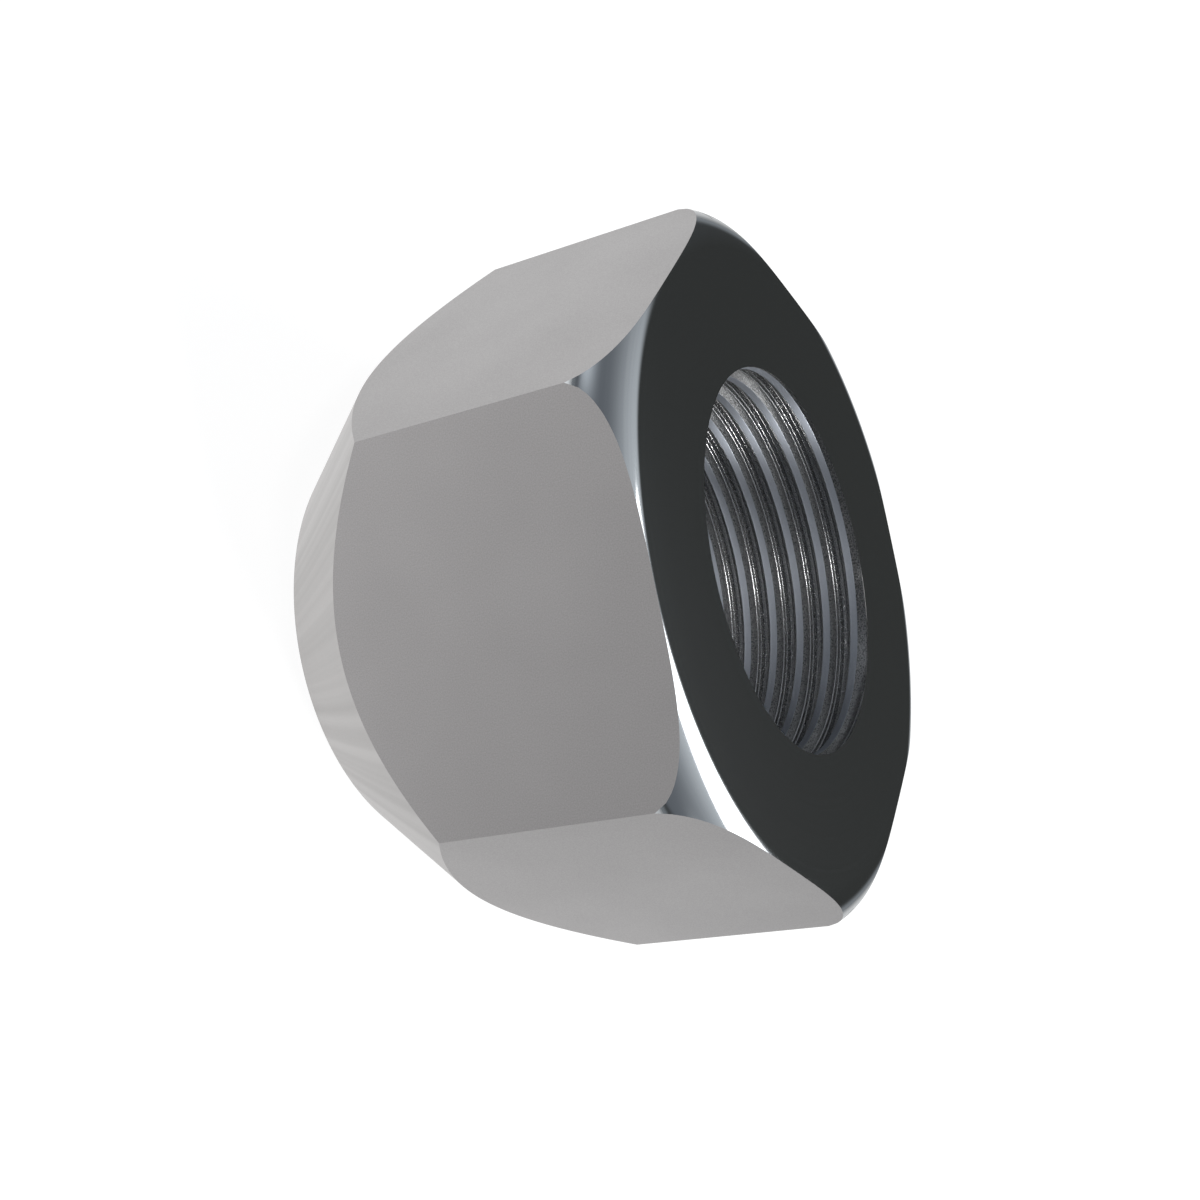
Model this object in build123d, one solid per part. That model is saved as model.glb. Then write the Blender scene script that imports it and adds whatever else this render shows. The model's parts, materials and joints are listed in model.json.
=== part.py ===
from build123d import *
import os
from math import cos, radians, sqrt, tan

# Conical nut, M20 x 1.5, turned from hexagon bar 30 mm across flats.
# The thread axis is Z. The small end of the cone stands on the XY plane, the flat threaded face
# looks up, and the X axis is square to one pair of flats. Sizes are in millimetres and degrees.
# The bore is plain, at the thread's minor diameter.

FULL_TURN = 360.0

# Hexagon bar
HEXAGON_SIDES = 6
across_flats = 30.0
nut_height = 20.9  # from the small end to the threaded face

# Thread
thread_diameter = 20.0
thread_pitch = 1.5
SHARP_THREAD_HEIGHT = sqrt(3) / 2  # of a sharp 60 degree thread, for a pitch of one
INTERNAL_THREAD_SHARE = 5 / 8  # of that height, from the thread's diameter in to its crests

# Turned outline
seat_angle = 75.0  # included angle of the conical seat
end_land = 1.63  # width of the flat ring around the bore at the small end
edge_radius = 2.45  # round-over from the threaded face out to the hexagon's corners
corner_allowance = 0.03  # how far the turned outline passes outside the corners

# Sizes that follow
corner_angle = FULL_TURN / HEXAGON_SIDES / 2  # from the middle of a flat to its corner
corner_radius = across_flats / 2 / cos(radians(corner_angle))
turned_radius = corner_radius + corner_allowance
face_radius = turned_radius - edge_radius
thread_depth = INTERNAL_THREAD_SHARE * SHARP_THREAD_HEIGHT * thread_pitch
bore_radius = thread_diameter / 2 - thread_depth
small_end_radius = bore_radius + end_land
seat_height = (turned_radius - small_end_radius) / tan(radians(seat_angle / 2))


def hexagon_bar() -> Part:
    """The length of bar that the nut is turned from, with one pair of flats square to X."""
    with BuildPart() as bar:
        with BuildSketch():
            RegularPolygon(
                radius=across_flats / 2,
                side_count=HEXAGON_SIDES,
                major_radius=False,
                rotation=corner_angle,
            )
        extrude(amount=nut_height)
    return bar.part


def turned_section() -> Sketch:
    """Half section through the axis: bore, small end, cone, round-over and threaded face."""
    with BuildSketch(Plane.XZ) as section:
        with BuildLine():
            bore_to_round_over = Polyline(
                (bore_radius, nut_height),
                (bore_radius, 0),
                (small_end_radius, 0),
                (turned_radius, seat_height),
                (turned_radius, nut_height - edge_radius),
            )
            round_over = CenterArc(
                center=(face_radius, nut_height - edge_radius),
                radius=edge_radius,
                start_angle=0,
                arc_size=FULL_TURN / 4,
            )
            Line(round_over @ 1, bore_to_round_over @ 0)
        make_face()
    return section.sketch


def conical_nut() -> Part:
    """The bar within the turned form, so its flats run out in arcs on the cone and round-over."""
    with BuildPart() as nut:
        add(hexagon_bar())
        revolve(turned_section(), axis=Axis.Z, mode=Mode.INTERSECT)
    return nut.part


os.makedirs("parts", exist_ok=True)
export_step(conical_nut(), "parts/conical_nut.step")
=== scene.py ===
import json
import logging
import math
from dataclasses import dataclass
from enum import Enum

import bmesh
import bpy
import numpy as np
from mathutils import Matrix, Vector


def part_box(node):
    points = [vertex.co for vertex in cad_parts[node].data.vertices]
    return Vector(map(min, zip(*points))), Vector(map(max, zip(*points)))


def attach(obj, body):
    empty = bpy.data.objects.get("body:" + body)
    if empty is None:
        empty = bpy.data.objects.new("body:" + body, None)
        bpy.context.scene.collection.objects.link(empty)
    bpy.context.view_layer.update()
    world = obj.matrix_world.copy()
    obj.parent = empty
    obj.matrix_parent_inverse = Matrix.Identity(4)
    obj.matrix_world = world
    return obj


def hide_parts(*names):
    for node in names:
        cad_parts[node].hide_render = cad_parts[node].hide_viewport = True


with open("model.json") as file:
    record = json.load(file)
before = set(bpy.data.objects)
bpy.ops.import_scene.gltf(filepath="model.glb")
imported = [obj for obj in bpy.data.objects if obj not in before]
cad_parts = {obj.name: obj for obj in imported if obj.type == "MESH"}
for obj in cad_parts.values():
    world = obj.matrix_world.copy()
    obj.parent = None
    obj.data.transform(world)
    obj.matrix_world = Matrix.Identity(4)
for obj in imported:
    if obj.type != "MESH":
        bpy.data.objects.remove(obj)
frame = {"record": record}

LOG = logging.getLogger("conical_nut")
MM = 0.001
NODE = "conical_nut"
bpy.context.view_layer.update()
CAMERA_DISTANCE = 2.7584  # from the nut's middle, as a share of its width across flats
MIX_FACTOR, MIX_A, MIX_B, MIX_RESULT = 0, 6, 7, 2  # colour sockets of Blender's Mix node
OF_COLOURS = {"data_type": "RGBA"}  # makes a Mix node one of colours
SMOOTH = {"interpolation_type": "SMOOTHSTEP"}  # makes a Map Range node ease in and out
PLAIN_NOISE, RICH_NOISE = 1.0, 2.0  # detail of a noise with one finer layer, or with two

NodeTree = bpy.types.NodeTree
Socket = bpy.types.NodeSocket


def linear(hex_colour: str) -> tuple[float, float, float, float]:
    """Turns an sRGB hex colour into the linear colour that the shaders take.

    Args:
        hex_colour: six hex digits after a hash, such as "#a0a0a0".

    Returns:
        Linear red, green and blue, and an alpha of one.
    """
    srgb = np.array([int(hex_colour[i:i + 2], 16) for i in (1, 3, 5)]) / 255
    low = srgb / 12.92
    high = ((srgb + 0.055) / 1.055) ** 2.4
    red, green, blue = np.where(srgb <= 0.04045, low, high)
    return float(red), float(green), float(blue), 1.0


def heading(azimuth: float, elevation: float) -> np.ndarray:
    """The unit vector towards an azimuth, from +X towards +Y, and an elevation, both in degrees."""
    around, up = math.radians(azimuth), math.radians(elevation)
    return np.array((math.cos(up) * math.cos(around), math.cos(up) * math.sin(around), math.sin(up)))


def add_node(
    tree: NodeTree,
    kind: str,
    settings: dict[str, object] | None = None,
    inputs: dict[str | int, object] | None = None,
    links: dict[str | int, Socket] | None = None,
) -> bpy.types.Node:
    """Adds one node with its settings, its input values and the links into it.

    Args:
        tree: the node tree of a material or a world.
        kind: the node's type name, such as "ShaderNodeBump".
        settings: the node's own properties and their values.
        inputs: input sockets, by name or index, and their values.
        links: input sockets, by name or index, and the outputs that feed them.

    Returns:
        The new node.
    """
    node = tree.nodes.new(kind)
    for key, value in (settings or {}).items():
        setattr(node, key, value)
    for key, value in (inputs or {}).items():
        node.inputs[key].default_value = value
    for key, socket in (links or {}).items():
        tree.links.new(socket, node.inputs[key])
    return node


def from_axis(tree: NodeTree, place: Socket) -> Socket:
    """The distance from the thread axis: the length of the place with its height taken out.

    Args:
        tree: the material's node tree.
        place: object coordinates.

    Returns:
        The distance in metres.
    """
    flat = add_node(tree, "ShaderNodeVectorMath", {"operation": "MULTIPLY"}, {1: (1, 1, 0)},
                    {0: place})
    length = add_node(tree, "ShaderNodeVectorMath", {"operation": "LENGTH"},
                      links={0: flat.outputs[0]})
    return length.outputs["Value"]


def ray_kinds(tree: NodeTree) -> tuple[Socket, Socket]:
    """What a ray comes from, so that the studio can look one way and be mirrored another.

    Args:
        tree: the node tree of the floor's material or of the world.

    Returns:
        One for a ray from the camera or through glass, and one for a ray mirrored by metal.
    """
    path = add_node(tree, "ShaderNodeLightPath")
    direct = add_node(tree, "ShaderNodeMath", {"operation": "MAXIMUM"}, links={
        0: path.outputs["Is Camera Ray"], 1: path.outputs["Is Transmission Ray"]})
    return direct.outputs[0], path.outputs["Is Glossy Ray"]


def read_rows(
    items: bpy.types.bpy_prop_collection, name: str, width: int, kind: type = np.float32
) -> np.ndarray:
    """Reads one property of all the items in a collection at once.

    Args:
        items: the collection, such as a mesh's vertices.
        name: the property.
        width: how many numbers it has.
        kind: the kind of number.

    Returns:
        One row of numbers for each item.
    """
    values = np.empty(len(items) * width, dtype=kind)
    items.foreach_get(name, values)
    return values.reshape(-1, width)


class Surface(Enum):
    """The ways in which the nut's surfaces were made, in the order of its material slots."""

    FLAT = 0
    SEAT = 1
    TURNED = 2
    CREST = 3
    FLANK = 4
    ROOT = 5


@dataclass(frozen=True)
class Layers:
    """What a finish's pattern makes of each point of the surface.

    Attributes:
        colour: the metal's colour.
        roughness: its roughness.
        height: its height.
    """

    colour: Socket
    roughness: Socket
    height: Socket


@dataclass(frozen=True)
class Finish:
    """A finish on bare metal, with pale and dull parts that follow one pattern.

    Attributes:
        name: the material's name.
        pale: colour of the clean metal.
        dull: colour of the rest.
        roughness: mean roughness.
        roughness_change: how much smoother the pale parts are, and how much rougher the dull ones.
        dull_below: value of the pattern at which the metal is dullest.
        pale_above: value at which it is palest.
    """

    name: str
    pale: str
    dull: str
    roughness: float
    roughness_change: float
    dull_below: float = 0.3
    pale_above: float = 0.7

    def pattern(self, tree: NodeTree, place: Socket) -> tuple[Socket, Socket, float]:
        """Each finish gives its own pattern here.

        Args:
            tree: the material's node tree.
            place: object coordinates.

        Returns:
            The pattern, the height, and how many metres a height of one stands for.
        """
        raise NotImplementedError

    def details(self, tree: NodeTree, place: Socket, layers: Layers) -> Layers:
        """A finish may add to its pattern here.

        Args:
            tree: the material's node tree.
            place: object coordinates.
            layers: what the pattern alone makes.

        Returns:
            What it makes with the details.
        """
        return layers

    def material(self) -> bpy.types.Material:
        """Builds the material, whose colour and gloss follow the pattern."""
        material = bpy.data.materials.new(self.name)
        material.use_nodes = True
        tree = material.node_tree
        place = add_node(tree, "ShaderNodeTexCoord").outputs["Object"]
        pattern, height, depth = self.pattern(tree, place)
        tone = add_node(tree, "ShaderNodeMapRange",
                        inputs={"From Min": self.dull_below, "From Max": self.pale_above},
                        links={"Value": pattern}).outputs[0]
        colour = add_node(tree, "ShaderNodeMix", OF_COLOURS,
                          {MIX_A: linear(self.dull), MIX_B: linear(self.pale)},
                          {MIX_FACTOR: tone})
        roughness = add_node(tree, "ShaderNodeMapRange",
                             inputs={"To Min": self.roughness + self.roughness_change,
                                     "To Max": self.roughness - self.roughness_change},
                             links={"Value": tone})
        layers = Layers(colour.outputs[MIX_RESULT], roughness.outputs[0], height)
        layers = self.details(tree, place, layers)
        bump = add_node(tree, "ShaderNodeBump", inputs={"Strength": 1.0, "Distance": depth},
                        links={"Height": layers.height})
        shader = tree.nodes["Principled BSDF"]
        shader.inputs["Metallic"].default_value = 1.0
        tree.links.new(layers.colour, shader.inputs["Base Color"])
        tree.links.new(layers.roughness, shader.inputs["Roughness"])
        tree.links.new(bump.outputs[0], shader.inputs["Normal"])
        return material


@dataclass(frozen=True)
class TumbledSteel(Finish):
    """Cold-drawn bar steel, deburred by tumbling: the flats.

    Tumbling leaves a satin skin of tiny dents, so the flats look evenly grey, with a fine sparkle
    and slow, cloudy changes of tone.

    Attributes:
        dent: width of one dent. Real ones are a third of this and too fine to show.
        dent_depth: depth of one dent.
        cloud: width of one slow change of tone.
        cloud_share: how strong the clouds are, where the dents are one.
    """

    name: str = "tumbled_drawn_steel"
    pale: str = "#9d9b9b"
    dull: str = "#929090"
    roughness: float = 0.40
    roughness_change: float = 0.04
    dull_below: float = 0.40
    pale_above: float = 0.95
    dent: float = 0.06 * MM
    dent_depth: float = 0.0003 * MM
    cloud: float = 6 * MM
    cloud_share: float = 0.35

    def pattern(self, tree: NodeTree, place: Socket) -> tuple[Socket, Socket, float]:
        """Dents and clouds: two sizes of noise in the object's own coordinates.

        Args:
            tree: the material's node tree.
            place: object coordinates.

        Returns:
            Pattern, height and the metres that a height of one stands for.
        """
        dents = add_node(tree, "ShaderNodeTexNoise",
                         inputs={"Scale": 1 / self.dent, "Detail": PLAIN_NOISE},
                         links={"Vector": place}).outputs["Fac"]
        clouds = add_node(tree, "ShaderNodeTexNoise",
                          inputs={"Scale": 1 / self.cloud, "Detail": RICH_NOISE},
                          links={"Vector": place}).outputs["Fac"]
        both = add_node(tree, "ShaderNodeMath", {"operation": "MULTIPLY_ADD"},
                        {1: self.cloud_share}, {0: clouds, 2: dents})
        return both.outputs[0], dents, self.dent_depth


@dataclass(frozen=True)
class ForgedSeat(Finish):
    """The conical seat, cold-forged in a die, with soft marks down its slope, made paler than the bar
    by painted light.

    Attributes:
        marks: number of marks in a turn.
        slant: turn of a mark about the axis, in radians for each metre that it climbs.
        grain: width of one grain. Real ones are a third of this and too fine to show.
        grain_depth: height of one grain.
        grain_share: how strong the grains are in the tone, where the marks are one.
    """

    name: str = "forged_steel_seat"
    # Paler than the flats as painted light: the cone mirrors the floor where the nut shades it.
    pale: str = "#adabaa"
    dull: str = "#a3a1a0"
    roughness: float = 0.45
    roughness_change: float = 0.03
    dull_below: float = 0.40
    pale_above: float = 0.85
    marks: float = 110.0
    slant: float = 10.0
    grain: float = 0.09 * MM
    grain_depth: float = 0.001 * MM
    grain_share: float = 0.25

    def pattern(self, tree: NodeTree, place: Socket) -> tuple[Socket, Socket, float]:
        """Marks and grains.

        The marks are noise on a ring: the place is turned about the axis by the slant times its
        height, its height is taken out, and it is divided by its distance from the axis.

        Args:
            tree: the material's node tree.
            place: object coordinates.

        Returns:
            Pattern, height and the metres that a height of one stands for.
        """
        parts = add_node(tree, "ShaderNodeSeparateXYZ", links={0: place})
        twist = add_node(tree, "ShaderNodeMath", {"operation": "MULTIPLY"}, {1: self.slant},
                         {0: parts.outputs["Z"]})
        turned = add_node(tree, "ShaderNodeVectorRotate", {"rotation_type": "Z_AXIS"},
                          links={"Vector": place, "Angle": twist.outputs[0]})
        flat = add_node(tree, "ShaderNodeVectorMath", {"operation": "MULTIPLY"}, {1: (1, 1, 0)},
                        {0: turned.outputs[0]})
        ring = add_node(tree, "ShaderNodeVectorMath", {"operation": "NORMALIZE"},
                        links={0: flat.outputs[0]})
        marks = add_node(tree, "ShaderNodeTexNoise",
                         inputs={"Scale": self.marks / (2 * math.pi), "Detail": RICH_NOISE},
                         links={"Vector": ring.outputs[0]}).outputs["Fac"]
        grains = add_node(tree, "ShaderNodeTexNoise",
                          inputs={"Scale": 1 / self.grain, "Detail": PLAIN_NOISE},
                          links={"Vector": place}).outputs["Fac"]
        both = add_node(tree, "ShaderNodeMath", {"operation": "MULTIPLY_ADD"},
                        {1: self.grain_share}, {0: grains, 2: marks})
        return both.outputs[0], grains, self.grain_depth


@dataclass(frozen=True)
class TurnedSteel(Finish):
    """Steel faced on a lathe and burnished: the threaded face, the round-over and the small end.

    The tool leaves rings about the axis that are too shallow to see one by one. They show as a
    mirror that is clear but not quite sharp, with faint rings of more and less gloss.

    Attributes:
        ring: width of one ring. The tool's real feed is about 0.05 mm and too fine to show.
        ring_depth: depth of one ring.
    """

    name: str = "faced_burnished_steel"
    pale: str = "#c4c8ca"
    dull: str = "#bcc0c3"
    roughness: float = 0.09
    roughness_change: float = 0.02
    dull_below: float = 0.0
    pale_above: float = 1.0
    ring: float = 0.16 * MM
    ring_depth: float = 0.00002 * MM

    def pattern(self, tree: NodeTree, place: Socket) -> tuple[Socket, Socket, float]:
        """Rings: noise on the distance from the axis alone.

        Args:
            tree: the material's node tree.
            place: object coordinates.

        Returns:
            Pattern, height and the metres that a height of one stands for.
        """
        rings = add_node(tree, "ShaderNodeTexNoise", {"noise_dimensions": "1D"},
                         {"Scale": 1 / self.ring, "Detail": PLAIN_NOISE},
                         {"W": from_axis(tree, place)}).outputs["Fac"]
        return rings, rings, self.ring_depth


@dataclass(frozen=True)
class TappedSteel(Finish):
    """Steel cut or rubbed by a tap: the crests, flanks and root of the thread.

    The tap's teeth drag along the helix, so the metal is scored in short lines that run around
    the bore. Crests are rubbed smooth and bluish. Flanks are torn and dark, and sparkle beside
    fine raised lines where a tooth has rubbed them; the pale colour of these lines is a painted
    highlight.

    Attributes:
        score: width of one score. Real ones are a third of this and too fine to show.
        score_depth: depth of one score.
        stretch: how much longer than wide a score is.
        anisotropy: how much more the scores spread light up and down than around the bore.
        crest_radius: distance from the axis at which crest_painted_light holds.
        root_radius: distance at which root_painted_light holds.
        crest_painted_light: painted light that raises the pattern towards the pale colour at the
            crest, and painted shade that lowers it where negative.
        root_painted_light: the same at the root.
        highlight_line_radii: distances from the axis of the rubbed lines.
        line_width: width of such a line.
        line_height: how far it stands up.
        line: its pale colour, a painted highlight.
        line_roughness: its roughness.
    """

    score: float = 0.03 * MM
    score_depth: float = 0.001 * MM
    stretch: float = 3.0
    anisotropy: float = 0.0
    crest_radius: float = 9.19 * MM
    root_radius: float = 10 * MM
    crest_painted_light: float = 0.0
    root_painted_light: float = 0.0
    highlight_line_radii: tuple[float, ...] = ()
    line_width: float = 0.11 * MM
    line_height: float = 0.0125 * MM
    line: str = "#f0f0f0"
    line_roughness: float = 0.22

    QUARTER_TURN = 0.25  # of the shader's anisotropy, so that light spreads across the scores

    def pattern(self, tree: NodeTree, place: Socket) -> tuple[Socket, Socket, float]:
        """Scores that run around the bore.

        They are noise in coordinates that are divided by the stretch across the axis.

        Args:
            tree: the material's node tree.
            place: object coordinates.

        Returns:
            Pattern, height and the metres that a height of one stands for.
        """
        squeeze = 1 / self.stretch
        squeezed = add_node(tree, "ShaderNodeVectorMath", {"operation": "MULTIPLY"},
                            {1: (squeeze, squeeze, 1)}, {0: place})
        scores = add_node(tree, "ShaderNodeTexNoise",
                          inputs={"Scale": 1 / self.score, "Detail": RICH_NOISE},
                          links={"Vector": squeezed.outputs[0]}).outputs["Fac"]
        # Painted light and shade across the thread's depth: the pattern shifts towards the pale colour
        # by an amount that runs from the crest's value to the root's.
        clean = add_node(tree, "ShaderNodeMapRange",
                         inputs={"From Min": self.crest_radius, "From Max": self.root_radius,
                                 "To Min": self.crest_painted_light, "To Max": self.root_painted_light},
                         links={"Value": from_axis(tree, place)})
        both = add_node(tree, "ShaderNodeMath", links={0: scores, 1: clean.outputs[0]})
        height = add_node(tree, "ShaderNodeMath", {"operation": "MULTIPLY"},
                          {1: self.score_depth}, {0: scores})
        return both.outputs[0], height.outputs[0], 1.0

    def details(self, tree: NodeTree, place: Socket, layers: Layers) -> Layers:
        """Adds the rubbed lines with their painted highlight, and spreads light across the scores.

        Args:
            tree: the material's node tree.
            place: object coordinates.
            layers: what the scores alone make.

        Returns:
            What they make with the lines.
        """
        radius = from_axis(tree, place)
        line_top = self.score_depth / 2 + self.line_height
        # Each line's pale colour is a painted highlight; its smoother finish and raised ridge are
        # real.
        for line_radius in self.highlight_line_radii:
            line = self.rubbed_highlight_line(tree, radius, line_radius)
            colour = add_node(tree, "ShaderNodeMix", OF_COLOURS,
                              {MIX_B: linear(self.line)},
                              {MIX_FACTOR: line, MIX_A: layers.colour})
            roughness = add_node(tree, "ShaderNodeMix", inputs={"B": self.line_roughness},
                                 links={"Factor": line, "A": layers.roughness})
            height = add_node(tree, "ShaderNodeMix", inputs={"B": line_top},
                              links={"Factor": line, "A": layers.height})
            layers = Layers(colour.outputs[MIX_RESULT], roughness.outputs[0], height.outputs[0])
        around = add_node(tree, "ShaderNodeVectorMath", {"operation": "CROSS_PRODUCT"},
                          {0: (0, 0, 1)}, {1: place})
        shader = tree.nodes["Principled BSDF"]
        shader.inputs["Anisotropic"].default_value = self.anisotropy
        shader.inputs["Anisotropic Rotation"].default_value = self.QUARTER_TURN
        tree.links.new(around.outputs[0], shader.inputs["Tangent"])
        return layers

    def rubbed_highlight_line(self, tree: NodeTree, radius: Socket, line_radius: float) -> Socket:
        """One rubbed line with a painted highlight, strongest at a radius and gone half a width away.

        Args:
            tree: the material's node tree.
            radius: distance from the axis.
            line_radius: distance of the line from the axis.

        Returns:
            One in the middle of the line and nothing beside it.
        """
        off = add_node(tree, "ShaderNodeMath", {"operation": "SUBTRACT"}, {1: line_radius},
                       {0: radius})
        size = add_node(tree, "ShaderNodeMath", {"operation": "ABSOLUTE"}, links={0: off.outputs[0]})
        share = add_node(tree, "ShaderNodeMapRange", SMOOTH,
                         {"From Max": self.line_width / 2, "To Min": 1.0, "To Max": 0.0},
                         {"Value": size.outputs[0]})
        return share.outputs[0]


FINISHES: dict[Surface, Finish] = {
    Surface.FLAT: TumbledSteel(),
    Surface.SEAT: ForgedSeat(),
    Surface.TURNED: TurnedSteel(),
    # Rubbed smooth by the tap's core: an even, bluish satin that shines up and down the bore.
    Surface.CREST: TappedSteel(
        name="tapped_steel_crest", pale="#c4c9d1", dull="#bbc0c8",
        roughness=0.50, roughness_change=0.03, score_depth=0.0001 * MM, anisotropy=0.75,
    ),
    # Torn by the teeth: dark with scale, sparkling, with two rubbed lines whose pale colour is a
    # painted highlight.
    # Paler towards the root and darker at the crest, as painted light and shade.
    Surface.FLANK: TappedSteel(
        name="tapped_steel_flank", pale="#b8b8b8", dull="#686868",
        roughness=0.34, roughness_change=0.08, score=0.06 * MM, score_depth=0.016 * MM,
        stretch=1.5, crest_painted_light=-0.06, root_painted_light=0.20, highlight_line_radii=(9.61 * MM, 9.78 * MM),
    ),
    # Cut last, by the tips of the teeth: clean and fairly bright.
    Surface.ROOT: TappedSteel(
        name="tapped_steel_root", pale="#c0c0c0", dull="#a0a0a0",
        roughness=0.30, roughness_change=0.08, score_depth=0.001 * MM,
    ),
}


@dataclass(frozen=True)
class Patch:
    """A grid of points on one part of the nut's skin.

    Attributes:
        points: an array of rows by columns by three, in metres.
        surfaces: one Surface value for each row of faces.
    """

    points: np.ndarray
    surfaces: np.ndarray

    def quads(self) -> np.ndarray:
        """Four point numbers for each face, row by row, counted within the patch."""
        rows, columns = self.points.shape[:2]
        number = np.arange(rows * columns).reshape(rows, columns)
        corners = (number[:-1, :-1], number[:-1, 1:], number[1:, 1:], number[1:, :-1])
        return np.stack(corners, axis=-1).reshape(-1, 4)

    def face_surfaces(self) -> np.ndarray:
        """One Surface value for each face, in the order of quads."""
        return np.repeat(self.surfaces, self.points.shape[1] - 1)


@dataclass(frozen=True)
class ThreadProfile:
    """An ISO metric internal thread, as one pitch of its section.

    Attributes:
        pitch: distance from crest to crest along the axis.
        crest_round: radius on the two edges of each flat crest.
        root_round: radius in the two corners of each flat root.
        round_steps: chords in each of those rounds.
    """

    pitch: float = 1.5 * MM
    crest_round: float = 0.02 * MM
    root_round: float = 0.05 * MM
    round_steps: int = 3

    FLANK_ANGLE = math.radians(30)

    def depth(self) -> float:
        """Depth from crest to root: five eighths of the sharp triangle between two flanks."""
        return self.pitch / 2 / math.tan(self.FLANK_ANGLE) * 5 / 8

    def section(self) -> tuple[np.ndarray, np.ndarray]:
        """One whole pitch, from the start of a crest's first round to the end of the next one's.

        The crest is flat for a quarter of a pitch and the root for an eighth. The flanks lean 30
        degrees from the radius. A small arc, tangent to both lines, rounds each corner: it starts
        short of the corner by its radius times the tangent of half the turn between them.

        Returns:
            Distances along the axis and depths below the crest.
        """
        turn = math.pi / 2 - self.FLANK_ANGLE
        back_off = math.tan(turn / 2)
        sweep = np.linspace(0, turn, self.round_steps + 1)
        run, drop = np.sin(sweep), 1 - np.cos(sweep)
        crest_along = self.pitch / 8 + self.crest_round * (run - back_off)
        crest_depth = self.crest_round * drop
        root_along = self.pitch * 7 / 16 - self.root_round * (run - back_off)[::-1]
        root_depth = self.depth() - self.root_round * drop[::-1]
        along = np.append(crest_along, root_along)
        depth = np.append(crest_depth, root_depth)
        return np.append(along, self.pitch - along[::-1]), np.append(depth, depth[::-1])

    def surfaces(self) -> np.ndarray:
        """The Surface value of the stretch after each point of the section.

        Crest round, flank, root with its two rounds, flank, then crest round and flat crest.
        """
        kinds = (Surface.CREST, Surface.FLANK, Surface.ROOT, Surface.FLANK, Surface.CREST)
        counts = (self.round_steps, 1, 2 * self.round_steps + 1, 1, self.round_steps + 1)
        return np.repeat([kind.value for kind in kinds], counts)


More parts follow.
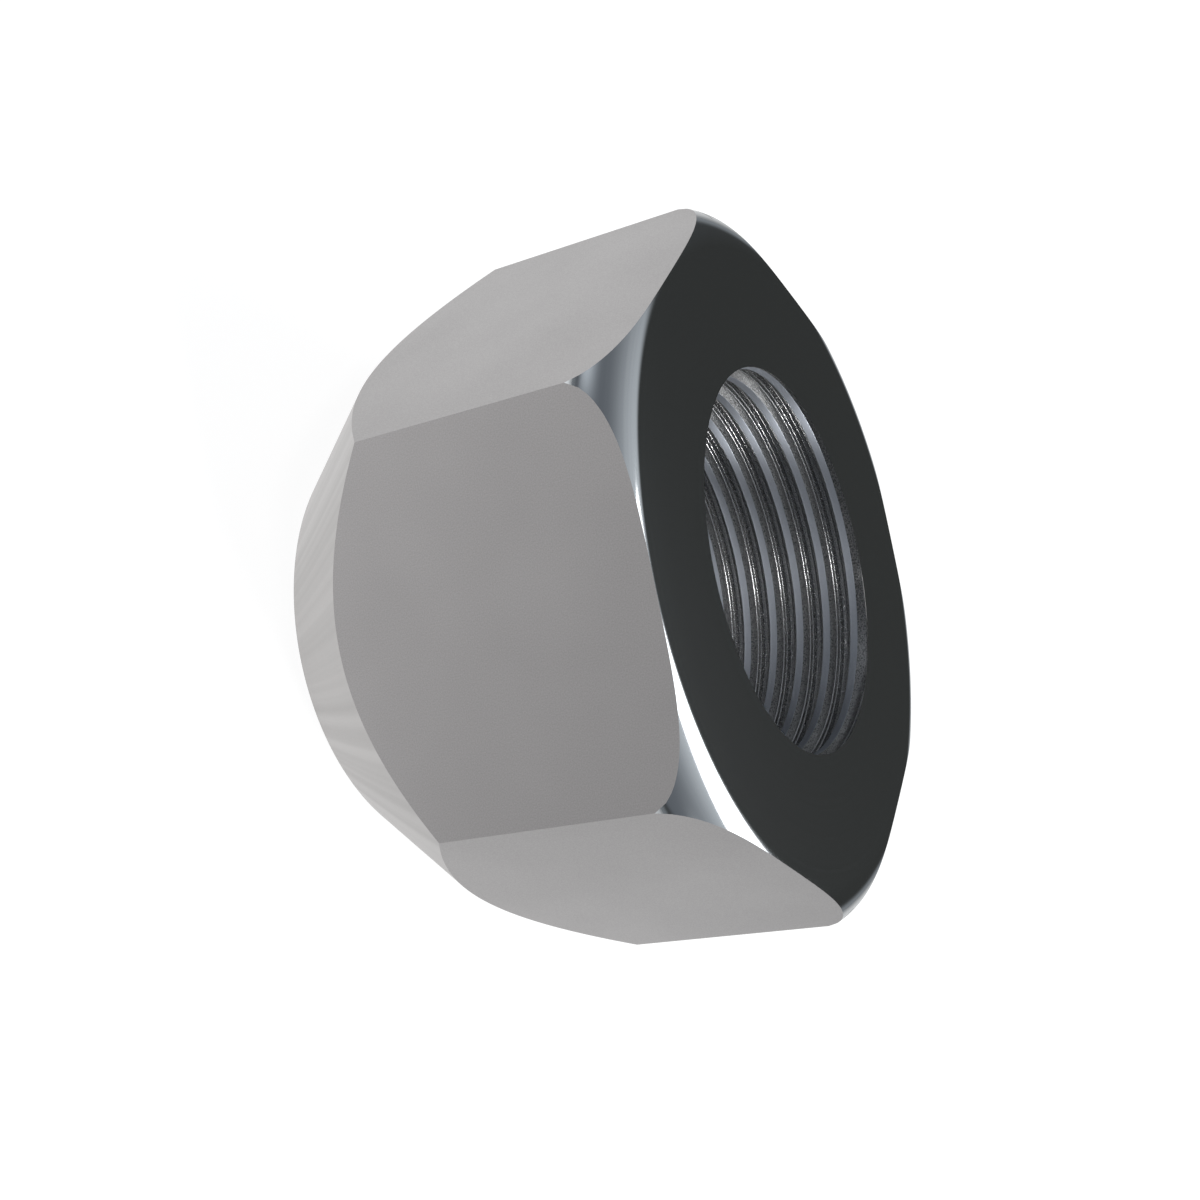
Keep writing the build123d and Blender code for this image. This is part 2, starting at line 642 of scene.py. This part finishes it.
@dataclass(frozen=True)
class ConicalNut:
    """The whole nut: a hexagon bar, turned to a cone and a round-over, and tapped.

    Attributes:
        across_flats: width of the hexagon over two opposite flats.
        height: from the small end to the threaded face.
        bore_radius: radius at the crests of the thread.
        end_land: width of the flat ring around the bore at the small end.
        seat_half_angle: angle between the cone and the axis.
        edge_radius: round-over from the threaded face out to the corners.
        corner_allowance: how far the turned outline passes outside the corners.
        thread: the thread's section.
        first_crest: depth of the first crest below the threaded face, opposite the flat on +X.
        run_out: depth over which the thread fades in from each mouth of the bore.
        steps_around: faces in one turn about the axis, a multiple of twelve.
        round_over_steps: rows of faces on the round-over.
        plain_steps: rows of faces on each other turned or rolled surface.
        merge_distance: points closer than this are one.
        sharp_angle: edges that turn by more than this stay sharp.
    """

    across_flats: float
    height: float
    bore_radius: float
    end_land: float = 1.63 * MM
    seat_half_angle: float = math.radians(37.5)
    edge_radius: float = 2.45 * MM
    corner_allowance: float = 0.03 * MM
    thread: ThreadProfile = ThreadProfile()
    first_crest: float = 0.62 * MM
    run_out: float = 0.35 * MM
    steps_around: int = 360
    round_over_steps: int = 22
    plain_steps: int = 2
    merge_distance: float = 0.0005 * MM
    sharp_angle: float = math.radians(25)

    SIDES = 6
    FULL_WEIGHT = 100  # of large faces in the shading, in percent

    def angles(self) -> np.ndarray:
        """Angles of one turn about the axis, both ends included, counted from the +X flat."""
        return np.linspace(0, 2 * np.pi, self.steps_around + 1)

    def wall_radius(self) -> np.ndarray:
        """Distance from the axis to the hexagon's wall at each angle.

        It is half the width across flats, divided by the cosine of the angle to the middle of the
        nearest flat.
        """
        side = 2 * np.pi / self.SIDES
        from_flat = (self.angles() + side / 2) % side - side / 2
        return self.across_flats / 2 / np.cos(from_flat)

    def face_radius(self) -> float:
        """Radius of the flat threaded face, where the round-over begins."""
        corner_radius = self.across_flats / 2 / math.cos(math.pi / self.SIDES)
        return corner_radius + self.corner_allowance - self.edge_radius

    def small_end_radius(self) -> float:
        """Outer radius of the small end, where the cone begins."""
        return self.bore_radius + self.end_land

    def ring_points(self, radius: np.ndarray, height: np.ndarray) -> np.ndarray:
        """Turns radii and heights into points.

        Args:
            radius: distance from the axis, as rows by angles, or broadcast to that.
            height: height along the axis, in the same shape.

        Returns:
            Points with x = radius cos(angle), y = radius sin(angle) and z = height.
        """
        radius, height, angles = np.broadcast_arrays(radius, height, self.angles())
        return np.stack((radius * np.cos(angles), radius * np.sin(angles), height), axis=-1)

    def ruled(self, start: np.ndarray, end: np.ndarray, surface: Surface) -> Patch:
        """A patch ruled by straight lines from one ring of points to another.

        Args:
            start: the ring that the lines leave.
            end: the ring that they reach.
            surface: how this part of the skin was made.

        Returns:
            Points (1 - t) start + t end, for t in equal steps from 0 to 1.
        """
        share = np.linspace(0, 1, self.plain_steps + 1)[:, None, None]
        return Patch((1 - share) * start + share * end, np.full(self.plain_steps, surface.value))

    def round_over(self) -> Patch:
        """The turned round-over, from the threaded face down to the hexagon's wall.

        At each angle it is an arc of edge_radius. Its slope grows in equal steps from nothing at
        the face to the value at which the arc meets the wall: the sine of that slope is the wall's
        distance outside the face's circle, divided by edge_radius.
        """
        reach = (self.wall_radius() - self.face_radius()) / self.edge_radius
        share = np.linspace(0, 1, self.round_over_steps + 1)[:, None]
        slope = share * np.arcsin(reach)
        radius = self.face_radius() + self.edge_radius * np.sin(slope)
        height = self.height - self.edge_radius * (1 - np.cos(slope))
        surfaces = np.full(self.round_over_steps, Surface.TURNED.value)
        return Patch(self.ring_points(radius, height), surfaces)

    def tapped_bore(self) -> Patch:
        """The tapped bore, as a right-hand helix of the thread's section.

        A point of the section climbs one pitch in a turn: its height is its distance along the
        axis plus pitch times angle over a full turn. Its radius is the bore's plus its depth, and
        the depth fades to nothing at both mouths, by the smooth step 3t^2 - 2t^3 of the distance
        from the mouth. Heights past a mouth are moved back to it, where they fall together.
        """
        along, depth = self.thread.section()
        turns = np.arange(-math.ceil(self.height / self.thread.pitch) - 1, 2)
        top_crest = self.height - self.first_crest
        rows = (turns[:, None] * self.thread.pitch + along).ravel() + top_crest
        climb = (self.angles() / (2 * np.pi) - 0.5) * self.thread.pitch
        height = np.clip(rows[:, None] + climb, 0, self.height)
        share = np.clip(np.minimum(height, self.height - height) / self.run_out, 0, 1)
        fade = share * share * (3 - 2 * share)
        radius = self.bore_radius + np.tile(depth, turns.size)[:, None] * fade
        surfaces = np.tile(self.thread.surfaces(), turns.size)[:-1]
        return Patch(self.ring_points(radius, height), surfaces)

    def patches(self) -> list[Patch]:
        """All the patches of the nut's closed skin, in order from the mouth round the outside."""
        face_radius = self.face_radius()
        wall = self.wall_radius()
        arc_drop = self.edge_radius - np.sqrt(self.edge_radius**2 - (wall - face_radius) ** 2)
        cone_rise = (wall - self.small_end_radius()) / math.tan(self.seat_half_angle)
        mouth = self.ring_points(self.bore_radius, self.height)
        face_edge = self.ring_points(face_radius, self.height)
        wall_top = self.ring_points(wall, self.height - arc_drop)
        wall_bottom = self.ring_points(wall, cone_rise)
        end_edge = self.ring_points(self.small_end_radius(), 0)
        far_mouth = self.ring_points(self.bore_radius, 0)
        return [
            self.ruled(mouth, face_edge, Surface.TURNED),
            self.round_over(),
            self.ruled(wall_top, wall_bottom, Surface.FLAT),
            self.ruled(wall_bottom, end_edge, Surface.SEAT),
            self.ruled(end_edge, far_mouth, Surface.TURNED),
            self.tapped_bore(),
        ]

    def build(self, name: str) -> bpy.types.Object:
        """Joins the patches into one closed mesh object and dresses it.

        Args:
            name: the name of the object and its mesh.

        Returns:
            The nut, with its place in its mesh.
        """
        patches = self.patches()
        starts = np.cumsum([0] + [patch.points[..., 0].size for patch in patches])
        points = np.concatenate([patch.points.reshape(-1, 3) for patch in patches])
        quads = np.concatenate([patch.quads() + start for patch, start in zip(patches, starts)])
        surfaces = np.concatenate([patch.face_surfaces() for patch in patches])
        mesh = bpy.data.meshes.new(name)
        mesh.from_pydata(points.tolist(), [], quads.tolist())
        mesh.polygons.foreach_set("material_index", surfaces.astype(np.int32))
        self.close(mesh)
        for surface in Surface:
            mesh.materials.append(FINISHES[surface].material())
        nut = bpy.data.objects.new(name, mesh)
        bpy.context.scene.collection.objects.link(nut)
        self.smooth(nut)
        return nut

    def close(self, mesh: bpy.types.Mesh) -> None:
        """Merges the points that the patches share and turns every face outwards.

        Args:
            mesh: the mesh of separate patches, changed in place.
        """
        shell = bmesh.new()
        shell.from_mesh(mesh)
        bmesh.ops.remove_doubles(shell, verts=shell.verts, dist=self.merge_distance)
        bmesh.ops.dissolve_degenerate(shell, edges=shell.edges, dist=self.merge_distance)
        bmesh.ops.recalc_face_normals(shell, faces=shell.faces)
        open_edges = sum(not edge.is_manifold for edge in shell.edges)
        LOG.info("nut mesh: %d faces, %d open edges", len(shell.faces), open_edges)
        shell.to_mesh(mesh)
        shell.free()

    def smooth(self, nut: bpy.types.Object) -> None:
        """Shades the nut smooth but for its real edges, with large faces true to their plane.

        Args:
            nut: the object to shade.
        """
        mesh = nut.data
        mesh.shade_smooth()
        mesh.set_sharp_from_angle(angle=self.sharp_angle)
        weighted = nut.modifiers.new("true_to_large_faces", "WEIGHTED_NORMAL")
        weighted.mode = "FACE_AREA"
        weighted.weight = self.FULL_WEIGHT
        weighted.keep_sharp = True
        shaded = nut.evaluated_get(bpy.context.evaluated_depsgraph_get()).data
        normals = read_rows(shaded.corner_normals, "vector", 3)
        on_arc, arc_normals = self.arc_normals(mesh)
        normals[on_arc] = arc_normals
        nut.modifiers.remove(weighted)
        mesh.normals_split_custom_set(normals.tolist())

    def arc_normals(self, mesh: bpy.types.Mesh) -> tuple[np.ndarray, np.ndarray]:
        """True normals for the round-over, which mirrors the room too sharply for mean ones.

        Each points away from the arc's centre, at the face's radius and edge_radius below the
        face. So its share along the radius is the point's distance outside the face's radius.

        Args:
            mesh: the nut's mesh.

        Returns:
            Which face corners are on the round-over, and the normals there.
        """
        middle = read_rows(mesh.polygons, "center", 3)
        surface = read_rows(mesh.polygons, "material_index", 1, np.int32)[:, 0]
        corners = read_rows(mesh.polygons, "loop_total", 1, np.int32)[:, 0]
        outside = np.hypot(middle[:, 0], middle[:, 1]) > self.face_radius()
        on_arc = np.repeat(outside & (surface == Surface.TURNED.value), corners)
        vertex = read_rows(mesh.loops, "vertex_index", 1, np.int32)[on_arc, 0]
        point = read_rows(mesh.vertices, "co", 3)[vertex]
        radius = np.hypot(point[:, 0], point[:, 1])
        out = (radius - self.face_radius()) / radius
        up = point[:, 2] - (self.height - self.edge_radius)
        away = np.stack((point[:, 0] * out, point[:, 1] * out, up), axis=1)
        return on_arc, away / np.linalg.norm(away, axis=1, keepdims=True)


@dataclass(frozen=True)
class SoftLamp:
    """An oval softbox that faces the nut.

    Attributes:
        name: the lamp's name.
        azimuth: direction from the nut, in degrees from +X towards +Y.
        elevation: angle above the floor, in degrees.
        distance: from the nut to the lamp.
        width: size across.
        depth: size up and down.
        radiance: brightness of its face, where 1 is the white of the background.
    """

    name: str
    azimuth: float
    elevation: float
    distance: float
    width: float
    depth: float
    radiance: float

    def place(self, target_height: float) -> bpy.types.Object:
        """Adds the lamp, aimed at a point on the thread axis.

        The lamp's power is its radiance times pi times the area of the oval.

        Args:
            target_height: height of that point.

        Returns:
            The lamp.
        """
        data = bpy.data.lights.new(self.name, "AREA")
        data.shape = "ELLIPSE"
        data.size = self.width
        data.size_y = self.depth
        data.energy = self.radiance * math.pi * self.width * self.depth * math.pi / 4
        back = heading(self.azimuth, self.elevation)
        right = heading(self.azimuth + 90, 0)
        matrix = np.eye(4)
        matrix[:3] = np.stack((right, np.cross(back, right), back, self.distance * back), axis=1)
        matrix[2, 3] += target_height
        lamp = bpy.data.objects.new(self.name, data)
        lamp.matrix_world = Matrix(matrix.tolist())
        bpy.context.scene.collection.objects.link(lamp)
        return lamp


@dataclass(frozen=True)
class Floor:
    """A round floor of matt white card, with its middle on the thread axis.

    It takes the nut's shadow, and glows to white where it is seen or mirrored. The camera sees it
    whiter far from the nut, where the lamps reach it less. The metal mirrors it dimmer there,
    dimmer on one side of the nut, and dimmer behind it.

    Attributes:
        radius: its radius.
        steps: corners on its edge.
        drop: gap that keeps it clear of the nut's small end.
        albedo: share of the lamps' light that it gives back, with the nut's shadow.
        seen: white that the camera sees on it besides, near the nut.
        seen_start: distance from the nut at which that starts to rise to full white.
        seen_end: distance at which it is full white.
        dim: white that the metal mirrors on its dim side besides.
        bright: the same on its bright side.
        bright_side: direction from the nut to the bright side, in degrees from +X towards +Y.
        dim_distance: from the thread axis to where the dim side is at its dimmest.
        shade: share of the mirrored white that is left behind the nut.
        shade_start: from the thread axis to where the floor behind the nut starts to dim.
        shade_end: from there to where it is at its dimmest.
        far: share of the mirrored white that is left far away.
        far_start: distance from the nut at which the floor starts to dim all round.
        far_end: distance at which it is at its dimmest.
    """

    radius: float = 2.0
    steps: int = 96
    drop: float = 0.02 * MM
    albedo: float = 0.2
    seen: float = 0.92
    seen_start: float = 150 * MM
    seen_end: float = 1000 * MM
    dim: float = 0.68
    bright: float = 1.13
    bright_side: float = 235.0
    dim_distance: float = 40 * MM
    shade: float = 0.48
    shade_start: float = 32 * MM
    shade_end: float = 70 * MM
    far: float = 0.5
    far_start: float = 50 * MM
    far_end: float = 400 * MM

    def build(self) -> bpy.types.Object:
        """Adds the floor, as one face with its corners on a circle."""
        angles = np.linspace(0, 2 * np.pi, self.steps, endpoint=False)
        height = np.full(self.steps, -self.drop)
        points = np.stack((self.radius * np.cos(angles), self.radius * np.sin(angles), height), axis=1)
        mesh = bpy.data.meshes.new("studio_floor")
        mesh.from_pydata(points.tolist(), [], [list(range(self.steps))])
        mesh.materials.append(self.material())
        floor = bpy.data.objects.new("studio_floor", mesh)
        bpy.context.scene.collection.objects.link(floor)
        return floor

    def mirrored(self, tree: NodeTree, place: Socket, distance: Socket) -> Socket:
        """The white that the metal mirrors: its value on each side, times both other dimmings.

        Args:
            tree: the material's node tree.
            place: object coordinates.
            distance: distance from the nut.

        Returns:
            The strength of the glow.
        """
        across = add_node(tree, "ShaderNodeVectorMath", {"operation": "DOT_PRODUCT"},
                          {1: heading(self.bright_side, 0)}, {0: place}).outputs["Value"]
        side = add_node(tree, "ShaderNodeMapRange", SMOOTH,
                        {"From Min": -self.dim_distance, "From Max": 0.0,
                         "To Min": self.dim, "To Max": self.bright}, {"Value": across})
        back = add_node(tree, "ShaderNodeSeparateXYZ", links={0: place}).outputs["X"]
        behind = add_node(tree, "ShaderNodeMapRange", SMOOTH,
                          {"From Min": -self.shade_end, "From Max": -self.shade_start,
                           "To Min": self.shade, "To Max": 1.0}, {"Value": back})
        near = add_node(tree, "ShaderNodeMath", {"operation": "MULTIPLY"},
                        links={0: side.outputs[0], 1: behind.outputs[0]})
        far = add_node(tree, "ShaderNodeMapRange", SMOOTH,
                       {"From Min": self.far_start, "From Max": self.far_end,
                        "To Min": 1.0, "To Max": self.far}, {"Value": distance})
        both = add_node(tree, "ShaderNodeMath", {"operation": "MULTIPLY"},
                        links={0: near.outputs[0], 1: far.outputs[0]})
        return both.outputs[0]

    def material(self) -> bpy.types.Material:
        """Builds the card: a grey diffuse surface plus a glow for the camera and for mirrors."""
        material = bpy.data.materials.new("matt_white_card")
        material.use_nodes = True
        tree = material.node_tree
        tree.nodes.clear()
        place = add_node(tree, "ShaderNodeTexCoord").outputs["Object"]
        distance = add_node(tree, "ShaderNodeVectorMath", {"operation": "LENGTH"},
                            links={0: place}).outputs["Value"]
        seen = add_node(tree, "ShaderNodeMapRange", SMOOTH,
                        {"From Min": self.seen_start, "From Max": self.seen_end,
                         "To Min": self.seen, "To Max": 1.0}, {"Value": distance})
        direct, glossy = ray_kinds(tree)
        seen_glow = add_node(tree, "ShaderNodeMath", {"operation": "MULTIPLY"},
                             links={0: direct, 1: seen.outputs[0]})
        strength = add_node(tree, "ShaderNodeMath", {"operation": "MULTIPLY_ADD"}, links={
            0: glossy, 1: self.mirrored(tree, place, distance), 2: seen_glow.outputs[0]})
        glow = add_node(tree, "ShaderNodeEmission", links={"Strength": strength.outputs[0]})
        grey = (self.albedo, self.albedo, self.albedo, 1.0)
        card = add_node(tree, "ShaderNodeBsdfDiffuse", inputs={"Color": grey})
        both = add_node(tree, "ShaderNodeAddShader", links={0: card.outputs[0], 1: glow.outputs[0]})
        add_node(tree, "ShaderNodeOutputMaterial", links={"Surface": both.outputs[0]})
        return material


@dataclass(frozen=True)
class Room:
    """The room: white to the camera, and to the metal a grey dome above a dark band.

    The band's upper edge is higher on the far side of the nut, where the threaded face mirrors
    it. A paler strip lies along the horizon. Heights are sines of the elevation.

    Attributes:
        dark: colour of the band on the far side.
        dusky: its colour on the near side.
        near_side: direction to the middle of the near side, in degrees from +X towards +Y.
        dark_from: cosine of the angle from there at which the band is at its darkest.
        strip: colour of the strip.
        strip_fade: height at which it starts to give way to the band.
        strip_top: height at which it ends.
        band_fade: height at which the band starts to give way to the dome.
        band_top: height at which it ends.
        band_tilt: how much lower those two heights are on the horizon towards +X.
        dome: colour of the dome.
        glow: colour in the middle of the glow round the key lamp.
        glow_power: the larger it is, the smaller the glow.
        window: colour that a window adds to the dome.
        window_azimuth: direction from the nut to the window, in degrees from +X towards +Y.
        window_elevation: its angle above the floor, in degrees.
        window_power: the larger it is, the smaller the window.
    """

    dark: str = "#3d3e3d"
    dusky: str = "#66696e"
    near_side: float = -60.0
    dark_from: float = -0.3
    strip: str = "#8c9094"
    strip_fade: float = 0.04
    strip_top: float = 0.16
    band_fade: float = 0.21
    band_top: float = 0.38
    band_tilt: float = 0.25
    dome: str = "#767a80"
    glow: str = "#f4f8fc"
    glow_power: float = 3.6
    window: str = "#c8ccd0"
    window_azimuth: float = 285.0
    window_elevation: float = 20.0
    window_power: float = 40.0

    def patch(
        self, tree: NodeTree, direction: Socket, centre: np.ndarray, power: float
    ) -> Socket:
        """A soft round patch on the walls: the cosine of the angle to its middle, to a power.

        Args:
            tree: the world's node tree.
            direction: the direction that is looked up.
            centre: unit vector to the middle of the patch.
            power: the larger it is, the smaller the patch.

        Returns:
            One in the middle of the patch, fading to nothing.
        """
        side = add_node(tree, "ShaderNodeVectorMath", {"operation": "DOT_PRODUCT"}, {1: centre},
                        {0: direction})
        facing = add_node(tree, "ShaderNodeMath", {"operation": "MAXIMUM"}, {1: 0.0},
                          {0: side.outputs["Value"]})
        patch = add_node(tree, "ShaderNodeMath", {"operation": "POWER"}, {1: power},
                         {0: facing.outputs[0]})
        return patch.outputs[0]

    def upper(self, tree: NodeTree, direction: Socket, key: np.ndarray) -> Socket:
        """The dome, with the glow and the window.

        Args:
            tree: the world's node tree.
            direction: the direction that is looked up.
            key: unit vector to the key lamp.

        Returns:
            The colour of the upper part of the room.
        """
        glow = self.patch(tree, direction, key, self.glow_power)
        grey = add_node(tree, "ShaderNodeMix", OF_COLOURS,
                        {MIX_A: linear(self.dome), MIX_B: linear(self.glow)}, {MIX_FACTOR: glow})
        centre = heading(self.window_azimuth, self.window_elevation)
        window = self.patch(tree, direction, centre, self.window_power)
        white = add_node(tree, "ShaderNodeVectorMath", {"operation": "SCALE"},
                         {0: linear(self.window)[:3]}, {"Scale": window})
        both = add_node(tree, "ShaderNodeVectorMath", {"operation": "ADD"},
                        links={0: grey.outputs[MIX_RESULT], 1: white.outputs[0]})
        return both.outputs[0]

    def lower(self, tree: NodeTree, direction: Socket) -> Socket:
        """The dark band, with the strip along the horizon.

        Args:
            tree: the world's node tree.
            direction: the direction that is looked up.

        Returns:
            The colour of the lower part of the room.
        """
        side = add_node(tree, "ShaderNodeVectorMath", {"operation": "DOT_PRODUCT"},
                        {1: heading(self.near_side, 0)}, {0: direction})
        nearness = add_node(tree, "ShaderNodeMapRange", inputs={"From Min": self.dark_from},
                            links={"Value": side.outputs["Value"]})
        band = add_node(tree, "ShaderNodeMix", OF_COLOURS,
                        {MIX_A: linear(self.dark), MIX_B: linear(self.dusky)},
                        {MIX_FACTOR: nearness.outputs[0]})
        height = add_node(tree, "ShaderNodeSeparateXYZ", links={0: direction}).outputs["Z"]
        above_strip = add_node(tree, "ShaderNodeMapRange", SMOOTH,
                               {"From Min": self.strip_fade, "From Max": self.strip_top},
                               {"Value": height})
        both = add_node(tree, "ShaderNodeMix", OF_COLOURS,
                        {MIX_A: linear(self.strip)},
                        {MIX_FACTOR: above_strip.outputs[0], MIX_B: band.outputs[MIX_RESULT]})
        return both.outputs[MIX_RESULT]

    def build(self, key: np.ndarray) -> bpy.types.World:
        """Adds the room and makes it the scene's world.

        Args:
            key: unit vector to the key lamp.

        Returns:
            The world.
        """
        world = bpy.data.worlds.new("studio_room")
        bpy.context.scene.world = world
        world.use_nodes = True
        tree = world.node_tree
        tree.nodes.clear()
        direction = add_node(tree, "ShaderNodeTexCoord").outputs["Generated"]
        tilted = add_node(tree, "ShaderNodeVectorMath", {"operation": "DOT_PRODUCT"},
                          {1: (self.band_tilt, 0.0, 1.0)}, {0: direction})
        above_band = add_node(tree, "ShaderNodeMapRange", SMOOTH,
                              {"From Min": self.band_fade, "From Max": self.band_top},
                              {"Value": tilted.outputs["Value"]})
        room = add_node(tree, "ShaderNodeMix", OF_COLOURS, links={
            MIX_FACTOR: above_band.outputs[0], MIX_A: self.lower(tree, direction),
            MIX_B: self.upper(tree, direction, key)})
        direct, _ = ray_kinds(tree)
        colour = add_node(tree, "ShaderNodeMix", OF_COLOURS, {MIX_B: linear("#ffffff")},
                          {MIX_FACTOR: direct, MIX_A: room.outputs[MIX_RESULT]})
        background = add_node(tree, "ShaderNodeBackground",
                              links={"Color": colour.outputs[MIX_RESULT]})
        add_node(tree, "ShaderNodeOutputWorld", links={"Surface": background.outputs[0]})
        return world


@dataclass(frozen=True)
class Studio:
    """The white floor, the grey room and the soft lamps.

    Attributes:
        key: the large softbox behind the nut, which the round-over mirrors.
        fill: the small one above the camera, which makes the rubbed lines in the thread shine.
        side: the small, bright one low at the nut's side, which shines on the thread's crests.
        floor: the floor.
        room: the room.
    """

    key: SoftLamp = SoftLamp("key_softbox", 157, 47, 0.70, 0.58, 0.40, 2.9)
    fill: SoftLamp = SoftLamp("fill_softbox", -8, 57, 0.50, 0.10, 0.10, 12.5)
    side: SoftLamp = SoftLamp("side_softbox", 90, 28, 0.50, 0.12, 0.08, 46.0)
    floor: Floor = Floor()
    room: Room = Room()

    def build(self, target_height: float) -> None:
        """Adds the room, the floor and the lamps.

        Args:
            target_height: height of the point on the thread axis that the lamps face.
        """
        self.room.build(heading(self.key.azimuth, self.key.elevation))
        self.floor.build()
        for lamp in (self.key, self.fill, self.side):
            lamp.place(target_height)
            LOG.info("lamp: %s", lamp.name)


@dataclass(frozen=True)
class PhotoCamera:
    """The photograph's camera, on the +X side of the nut and above its threaded face.

    Attributes:
        distance: from the camera to the point that it looks at.
        off_axis: angle between the line of sight and the thread axis.
        roll: turn of the picture about the line of sight.
        lens_mm: focal length on a 36 mm sensor.
    """

    distance: float
    off_axis: float = math.radians(62.06)
    roll: float = math.radians(11.89)
    lens_mm: float = 50.0

    def place(self, target_height: float) -> bpy.types.Object:
        """Adds the camera and makes it the scene's own.

        Before the roll, the thread axis runs across the picture to the right and -Y is up.

        Args:
            target_height: height of the point on the thread axis that the camera looks at.

        Returns:
            The camera.
        """
        back = np.array((math.sin(self.off_axis), 0, math.cos(self.off_axis)))
        level_right = np.array((-math.cos(self.off_axis), 0, math.sin(self.off_axis)))
        level_up = np.array((0, -1, 0))
        right = math.cos(self.roll) * level_right - math.sin(self.roll) * level_up
        up = math.sin(self.roll) * level_right + math.cos(self.roll) * level_up
        place = np.array((0, 0, target_height)) + self.distance * back
        matrix = np.eye(4)
        matrix[:3] = np.stack((right, up, back, place), axis=1)
        data = bpy.data.cameras.new("photo_camera")
        data.lens = self.lens_mm
        data.clip_start = MM
        camera = bpy.data.objects.new("photo_camera", data)
        camera.matrix_world = Matrix(matrix.tolist())
        bpy.context.scene.collection.objects.link(camera)
        bpy.context.scene.camera = camera
        return camera


def main() -> None:
    """Builds the nut, dresses it, and sets up the floor, the light and the camera."""
    logging.basicConfig(level=logging.INFO, format="%(message)s")
    low, high = (np.array(corner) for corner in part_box(NODE))
    mounts = {mount["name"]: mount for mount in frame["record"]["mounts"]}
    form = ConicalNut(
        across_flats=float(high[0] - low[0]),
        height=float(high[2] - low[2]),
        bore_radius=mounts["thread"]["dims"]["r_mm"] * MM,
    )
    nut = form.build("threaded_nut")
    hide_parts(NODE)
    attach(nut, "root")
    LOG.info("piece: %s, %d faces", nut.name, len(nut.data.polygons))

    Studio().build(form.height / 2)
    PhotoCamera(distance=CAMERA_DISTANCE * form.across_flats).place(form.height / 2)
    bpy.context.scene.view_settings.view_transform = "Standard"


if __name__ == "__main__":
    main()
